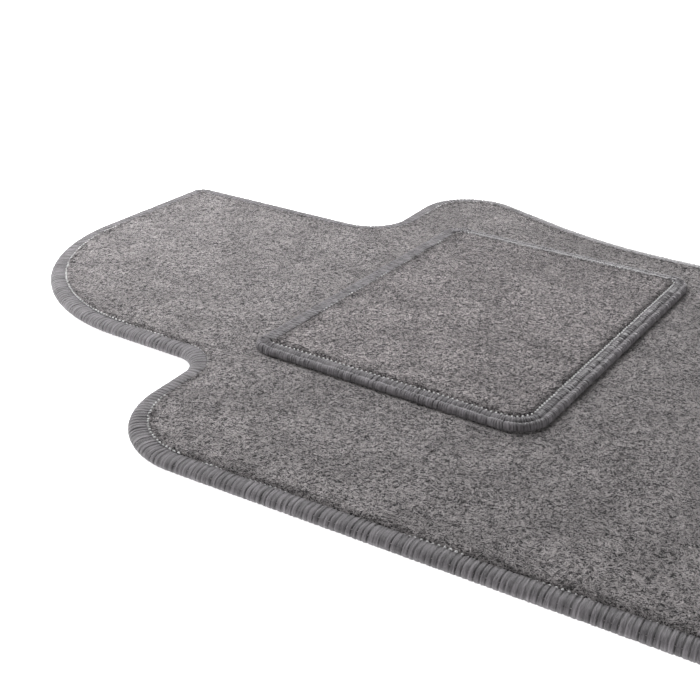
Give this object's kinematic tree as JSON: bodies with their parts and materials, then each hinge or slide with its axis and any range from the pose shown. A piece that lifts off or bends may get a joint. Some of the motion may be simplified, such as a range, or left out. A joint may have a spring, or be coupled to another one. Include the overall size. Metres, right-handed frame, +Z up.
{
  "type": "car floor mat",
  "caption": "Tailored driver's carpet floor mat with an overlocked edge, a tongue at the toe end and a sewn-on heel pad.",
  "frame": {"origin": "centre of the mat's footprint, on the floor it lies on", "axes": "+Y to the front of the vehicle, towards the tongue; +X to the right of the vehicle; +Z up"},
  "size_m": [0.4783, 0.7, 0.0129],
  "materials": {
    "felt_carpet": "matte",
    "rubber_backing": "matte",
    "edge_yarn": "matte",
    "needle_thread": "matte",
    "seam_thread": "matte"
  },
  "bodies": {
    "root": {"mat_carpet": "felt_carpet", "mat_backing": "rubber_backing", "mat_edge_overlock": "edge_yarn", "mat_edge_needle_thread": "needle_thread", "heel_pad_carpet": "felt_carpet", "heel_pad_overlock": "edge_yarn", "heel_pad_needle_thread": "needle_thread", "heel_pad_seam_thread": "seam_thread", "heel_pad_bobbin_thread": "seam_thread"}
  },
  "joints": []
}
